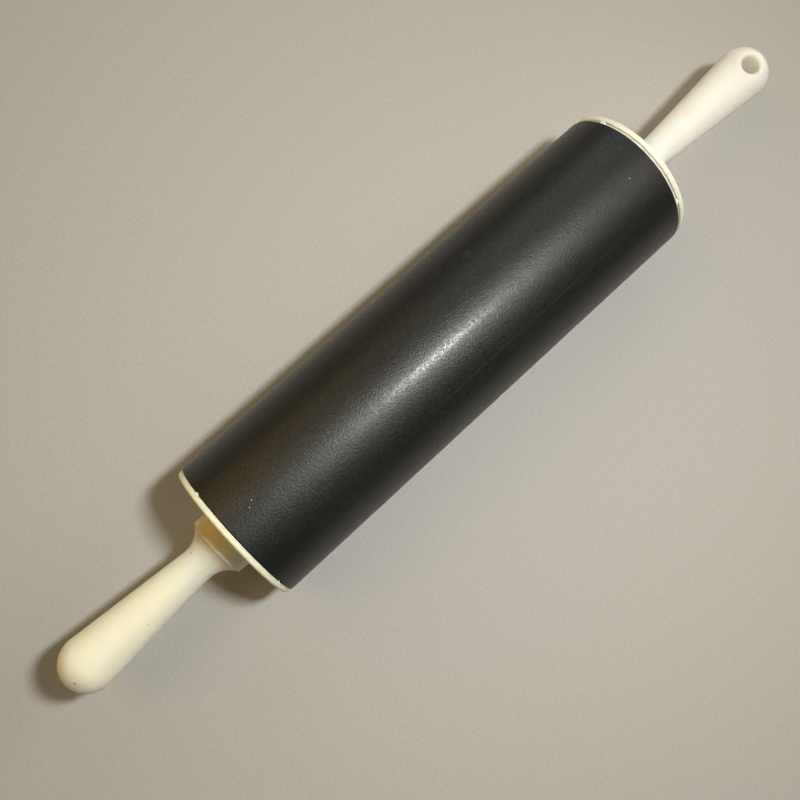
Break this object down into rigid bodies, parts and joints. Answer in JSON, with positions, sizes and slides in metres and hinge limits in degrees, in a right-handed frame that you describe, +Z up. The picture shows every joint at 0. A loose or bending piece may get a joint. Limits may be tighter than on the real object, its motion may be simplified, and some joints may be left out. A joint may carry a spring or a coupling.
{
  "type": "rubber brayer",
  "caption": "Wide inking roller: black rubber sleeve on an ivory plastic tube that turns on a steel rod between two in-line moulded handles, one with a hanging hole.",
  "frame": {"origin": "on the surface that the roller rests on, under the middle of the roller and its rod", "axes": "+X along the rod towards the handle with the hanging hole, +Z up, +Y across the roller"},
  "size_m": [0.445, 0.073, 0.073],
  "materials": {
    "black_rubber": "fine-grained satin, soft lengthwise sheen",
    "ivory_tube": "cut edge of an ivory plastic tube",
    "ivory_cap": "moulded ivory plastic, slightly yellowed",
    "ivory_handle": "moulded ivory plastic, satin, yellowed and faintly stained",
    "acetal": "natural acetal, smooth",
    "steel": "bright drawn rod",
    "zinc_steel": "zinc-plated",
    "brass": "turned"
  },
  "bodies": {
    "handles": {"axle_rod": "steel", "left_thrust_washer": "zinc_steel", "left_jam_nut": "zinc_steel", "left_handle_insert": "brass", "left_handle": "ivory_handle", "right_thrust_washer": "zinc_steel", "right_jam_nut": "zinc_steel", "right_handle_insert": "brass", "right_handle": "ivory_handle"},
    "roller": {"rubber_sleeve": "black_rubber", "core_tube": "ivory_tube", "left_end_cap": "ivory_cap", "left_bush": "acetal", "right_end_cap": "ivory_cap", "right_bush": "acetal"}
  },
  "joints": [
    {"name": "roller_spin", "type": "hinge", "parent": "handles", "child": "roller", "pos_m": [0, 0, 0.0365], "axis": [1, 0, 0], "continuous": true}
  ]
}
